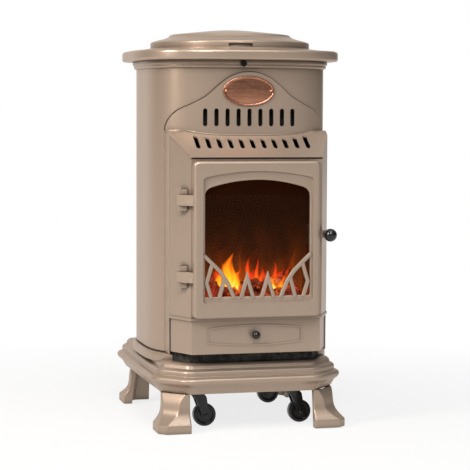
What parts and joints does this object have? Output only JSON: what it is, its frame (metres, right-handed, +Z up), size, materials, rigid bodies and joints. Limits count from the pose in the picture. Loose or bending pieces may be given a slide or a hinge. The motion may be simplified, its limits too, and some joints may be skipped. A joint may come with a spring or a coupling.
{
  "type": "portable gas cabinet heater",
  "caption": "Stove-style portable gas heater: oval enamelled cabinet on castors, arched glazed door with a grate, slotted canopy, overhanging top ring and hinged domed lid.",
  "frame": {"origin": "on the floor, under the middle of the heater's bounding box", "axes": "+Z up along the cabinet's height, -Y towards the glazed door, +X to the right seen from the front"},
  "size_m": [0.408, 0.4972, 0.7694],
  "materials": {
    "enamel": "warm taupe enamel, satin",
    "copper": "copper-coloured plate, satin",
    "black_gloss": "polished black",
    "black_plastic": "satin black moulding",
    "soot_black": "matt heat-resistant black",
    "zinc": "zinc plated",
    "brass": "satin",
    "ember": "rough ceramic coals",
    "dark_glass": "clear heat-resistant glass",
    "bottle_paint": "plain blue paint",
    "hose_rubber": "matt orange"
  },
  "bodies": {
    "cabinet": {"plinth": "enamel", "base_plate": "zinc", "foot_front_left": "enamel", "foot_front_right": "enamel", "foot_rear_left": "enamel", "foot_rear_right": "enamel", "castor_plate_front_left": "zinc", "castor_plate_front_right": "zinc", "castor_plate_rear_left": "zinc", "castor_plate_rear_right": "zinc", "cabinet_wrap": "enamel", "lower_panel": "enamel", "drawer_knob": "black_gloss", "door_surround": "enamel", "canopy_fascia": "enamel", "badge": "copper", "badge_rivet_left": "copper", "badge_rivet_right": "copper", "hinge_bracket_upper": "enamel", "hinge_pin_upper": "enamel", "hinge_bracket_lower": "enamel", "hinge_pin_lower": "enamel", "firebox_liner": "soot_black", "burner_tray": "soot_black", "coal_bed": "ember", "pilot_sensor": "brass", "magnet_catch": "zinc", "collar": "enamel", "collar_screw": "black_gloss", "top_ring": "enamel", "control_panel": "black_plastic", "gas_valve": "brass", "igniter_body": "black_plastic", "lid_hinge": "enamel", "lid_hinge_pin": "zinc", "gas_bottle": "bottle_paint", "regulator": "zinc", "gas_hose": "hose_rubber", "gas_pipe": "brass", "rear_hinge_lower": "zinc", "rear_hinge_upper": "zinc"},
    "door": {"door_frame": "enamel", "door_glass": "dark_glass", "glass_clip_left": "zinc", "glass_clip_right": "zinc", "door_knob": "black_gloss"},
    "lid": {"lid": "enamel"},
    "control_knob": {"control_knob": "black_plastic"},
    "igniter_button": {"igniter_button": "black_gloss"},
    "regulator_tap": {"regulator_tap": "black_plastic"},
    "rear_door": {"rear_door": "enamel", "rear_door_knob": "black_gloss"},
    "castor_front_left": {"castor_fork_front_left": "black_plastic"},
    "wheel_front_left": {"castor_wheel_front_left": "black_gloss"},
    "castor_front_right": {"castor_fork_front_right": "black_plastic"},
    "wheel_front_right": {"castor_wheel_front_right": "black_gloss"},
    "castor_rear_left": {"castor_fork_rear_left": "black_plastic"},
    "wheel_rear_left": {"castor_wheel_rear_left": "black_gloss"},
    "castor_rear_right": {"castor_fork_rear_right": "black_plastic"},
    "wheel_rear_right": {"castor_wheel_rear_right": "black_gloss"}
  },
  "joints": [
    {"name": "door_hinge", "type": "hinge", "parent": "cabinet", "child": "door", "pos_m": [-0.146, -0.18135, 0.37], "axis": [0, 0, -1], "range_deg": [0, 110]},
    {"name": "lid_hinge_turn", "type": "hinge", "parent": "cabinet", "child": "lid", "pos_m": [0, 0.18465, 0.7369], "axis": [-1, 0, 0], "range_deg": [0, 85]},
    {"name": "rear_door_hinge", "type": "hinge", "parent": "cabinet", "child": "rear_door", "pos_m": [0.139, 0.177, 0.4223], "axis": [0, 0, -1], "range_deg": [0, 110]},
    {"name": "control_knob_turn", "type": "hinge", "parent": "cabinet", "child": "control_knob", "pos_m": [-0.042, -0.04335, 0.7143], "axis": [0, 0, 1], "range_deg": [0, 180]},
    {"name": "igniter_press", "type": "slide", "parent": "cabinet", "child": "igniter_button", "axis": [0, 0, -1], "range_m": [0, 0.006], "stiffness_N_per_m": 400},
    {"name": "regulator_tap_turn", "type": "hinge", "parent": "cabinet", "child": "regulator_tap", "pos_m": [0, 0.04865, 0.5864], "axis": [0, 0, 1], "range_deg": [0, 90]},
    {"name": "castor_front_left_swivel", "type": "hinge", "parent": "cabinet", "child": "castor_front_left", "pos_m": [-0.096, -0.09635, 0.07], "axis": [0, 0, 1], "continuous": true},
    {"name": "wheel_front_left_spin", "type": "hinge", "parent": "castor_front_left", "child": "wheel_front_left", "pos_m": [-0.078, -0.09635, 0.0225], "axis": [0, 1, 0], "continuous": true},
    {"name": "castor_front_right_swivel", "type": "hinge", "parent": "cabinet", "child": "castor_front_right", "pos_m": [0.096, -0.09635, 0.07], "axis": [0, 0, 1], "continuous": true},
    {"name": "wheel_front_right_spin", "type": "hinge", "parent": "castor_front_right", "child": "wheel_front_right", "pos_m": [0.114, -0.09635, 0.0225], "axis": [0, 1, 0], "continuous": true},
    {"name": "castor_rear_left_swivel", "type": "hinge", "parent": "cabinet", "child": "castor_rear_left", "pos_m": [-0.096, 0.13365, 0.07], "axis": [0, 0, 1], "continuous": true},
    {"name": "wheel_rear_left_spin", "type": "hinge", "parent": "castor_rear_left", "child": "wheel_rear_left", "pos_m": [-0.078, 0.13365, 0.0225], "axis": [0, 1, 0], "continuous": true},
    {"name": "castor_rear_right_swivel", "type": "hinge", "parent": "cabinet", "child": "castor_rear_right", "pos_m": [0.096, 0.13365, 0.07], "axis": [0, 0, 1], "continuous": true},
    {"name": "wheel_rear_right_spin", "type": "hinge", "parent": "castor_rear_right", "child": "wheel_rear_right", "pos_m": [0.114, 0.13365, 0.0225], "axis": [0, 1, 0], "continuous": true}
  ]
}
